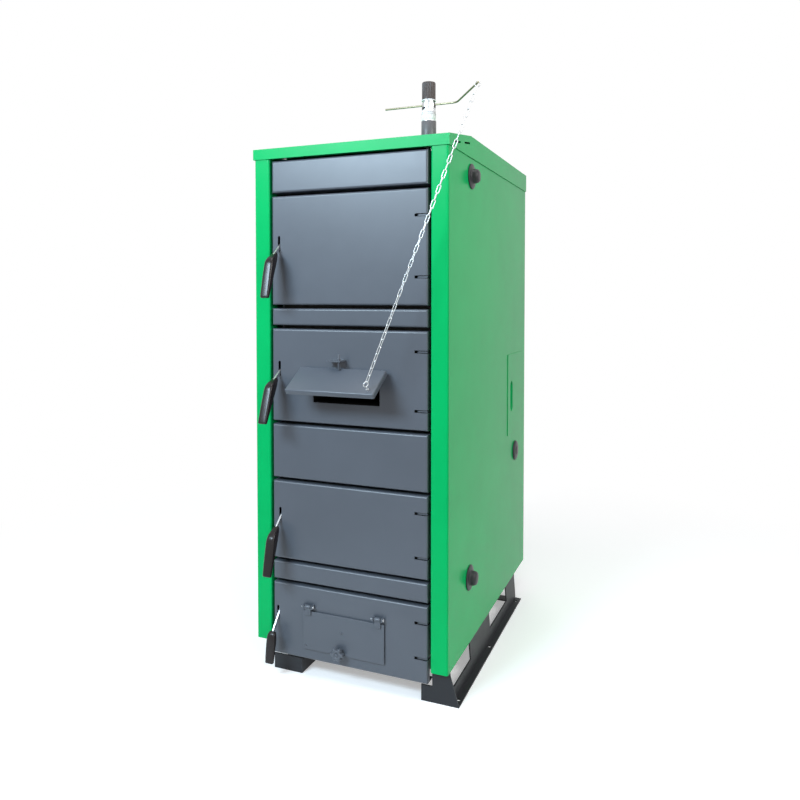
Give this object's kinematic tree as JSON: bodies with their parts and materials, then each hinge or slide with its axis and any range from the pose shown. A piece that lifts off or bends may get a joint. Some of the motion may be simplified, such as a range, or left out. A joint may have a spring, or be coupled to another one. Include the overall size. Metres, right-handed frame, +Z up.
{
  "type": "wood gasification boiler",
  "caption": "Tall floor-standing wood gasification boiler with stacked front doors, a chain-lifted air flap and a draught regulator on top.",
  "frame": {"origin": "on the floor under the middle of the casing", "axes": "+Z up, the doors face -Y, +X to the right seen from the front"},
  "size_m": [0.7035, 1.1039, 1.707],
  "materials": {
    "green_paint": "gloss powder coat",
    "graphite_paint": "satin powder coat",
    "charcoal_paint": "satin paint",
    "boiler_steel": "dull rolled steel",
    "insulation_block": "vermiculite board",
    "bare_steel": "bright zinc",
    "black_plastic": "moulded",
    "zinc_rod": "yellow zinc"
  },
  "bodies": {
    "boiler": {"floor_runners": "charcoal_paint", "casing_left": "green_paint", "casing_right": "green_paint", "casing_rear": "green_paint", "top_cover": "green_paint", "header_panel": "graphite_paint", "front_panels": "graphite_paint", "front_plate": "boiler_steel", "door_fittings": "charcoal_paint", "water_jackets": "boiler_steel", "chamber_floors": "boiler_steel", "flue_spigot": "charcoal_paint", "water_sockets": "bare_steel", "side_plugs": "black_plastic", "side_hatch_cover": "green_paint", "regulator_body": "charcoal_paint"},
    "ash_door": {"ash_door_cover": "graphite_paint", "ash_door_plate": "boiler_steel", "ash_door_block": "insulation_block", "ash_hatch_hinge": "graphite_paint"},
    "ash_handle": {"ash_door_bar": "bare_steel", "ash_door_grip": "black_plastic"},
    "lower_door": {"lower_door_cover": "graphite_paint", "lower_door_plate": "boiler_steel", "lower_door_block": "insulation_block"},
    "lower_handle": {"lower_door_bar": "bare_steel", "lower_door_grip": "black_plastic"},
    "furnace_door": {"furnace_door_cover": "graphite_paint", "furnace_door_plate": "boiler_steel", "furnace_door_block": "insulation_block", "air_flap_hinge": "charcoal_paint"},
    "furnace_handle": {"furnace_door_bar": "bare_steel", "furnace_door_grip": "black_plastic"},
    "loading_door": {"loading_door_cover": "graphite_paint", "loading_door_plate": "boiler_steel", "loading_door_block": "insulation_block"},
    "loading_handle": {"loading_door_bar": "bare_steel", "loading_door_grip": "black_plastic"},
    "air_flap": {"air_flap": "graphite_paint", "flap_eye": "bare_steel"},
    "ash_hatch": {"ash_hatch": "graphite_paint"},
    "star_knob": {"star_knob": "graphite_paint"},
    "regulator_knob": {"regulator_knob": "black_plastic"},
    "regulator_lever": {"regulator_lever": "zinc_rod"},
    "chain_ring": {"chain_ring": "bare_steel"},
    "draught_chain": {"draught_chain": "bare_steel"}
  },
  "joints": [
    {"name": "ash_door_swing", "type": "hinge", "parent": "boiler", "child": "ash_door", "pos_m": [0.216, -0.453, 0.1615], "axis": [0, 0, 1], "range_deg": [0, 100]},
    {"name": "ash_handle_lift", "type": "hinge", "parent": "ash_door", "child": "ash_handle", "pos_m": [-0.227, -0.429, 0.2079], "axis": [-1, 0, 0], "range_deg": [0, 25]},
    {"name": "lower_door_swing", "type": "hinge", "parent": "boiler", "child": "lower_door", "pos_m": [0.216, -0.453, 0.4555], "axis": [0, 0, 1], "range_deg": [0, 100]},
    {"name": "lower_handle_lift", "type": "hinge", "parent": "lower_door", "child": "lower_handle", "pos_m": [-0.218, -0.429, 0.49277], "axis": [-1, 0, 0], "range_deg": [0, 25]},
    {"name": "furnace_door_swing", "type": "hinge", "parent": "boiler", "child": "furnace_door", "pos_m": [0.216, -0.453, 0.882], "axis": [0, 0, 1], "range_deg": [0, 100]},
    {"name": "furnace_handle_lift", "type": "hinge", "parent": "furnace_door", "child": "furnace_handle", "pos_m": [-0.218, -0.429, 0.91328], "axis": [-1, 0, 0], "range_deg": [0, 25]},
    {"name": "loading_door_swing", "type": "hinge", "parent": "boiler", "child": "loading_door", "pos_m": [0.216, -0.453, 1.2435], "axis": [0, 0, 1], "range_deg": [0, 100]},
    {"name": "loading_handle_lift", "type": "hinge", "parent": "loading_door", "child": "loading_handle", "pos_m": [-0.218, -0.429, 1.28221], "axis": [-1, 0, 0], "range_deg": [0, 25]},
    {"name": "air_flap_tilt", "type": "hinge", "parent": "furnace_door", "child": "air_flap", "pos_m": [-0.006, -0.478, 0.902], "axis": [-1, 0, 0], "range_deg": [-55, 10]},
    {"name": "ash_hatch_tilt", "type": "hinge", "parent": "ash_door", "child": "ash_hatch", "pos_m": [-0.012, -0.474, 0.214], "axis": [-1, 0, 0], "range_deg": [0, 80]},
    {"name": "star_knob_turn", "type": "hinge", "parent": "ash_hatch", "child": "star_knob", "pos_m": [-0.022, -0.477, 0.098], "axis": [0, -1, 0], "continuous": true},
    {"name": "regulator_knob_turn", "type": "hinge", "parent": "boiler", "child": "regulator_knob", "pos_m": [0.208, -0.365, 1.667], "axis": [0, 0, 1], "range_deg": [-120, 120]},
    {"name": "regulator_lever_tilt", "type": "hinge", "parent": "boiler", "child": "regulator_lever", "pos_m": [0.208, -0.365, 1.645], "axis": [0, -1, 0], "range_deg": [-20, 4]},
    {"name": "chain_ring_tilt", "type": "hinge", "parent": "regulator_lever", "child": "chain_ring", "pos_m": [0.39326, -0.5194, 1.645], "axis": [-0.2028, 0.9791, 0.0169], "range_deg": [-22, 5]},
    {"name": "draught_chain_swing", "type": "hinge", "parent": "chain_ring", "child": "draught_chain", "pos_m": [0.39326, -0.5194, 1.642], "axis": [0.0995, -0.9948, 0.023], "range_deg": [0, 18], "deforming": ["draught_chain"]}
  ],
  "couplings": [
    {"joint": "regulator_lever_tilt", "follows": "air_flap_tilt", "ratio": 0.32962},
    {"joint": "chain_ring_tilt", "follows": "air_flap_tilt", "ratio": 0.35106},
    {"joint": "draught_chain_swing", "follows": "furnace_door_swing", "ratio": 0.17178}
  ]
}
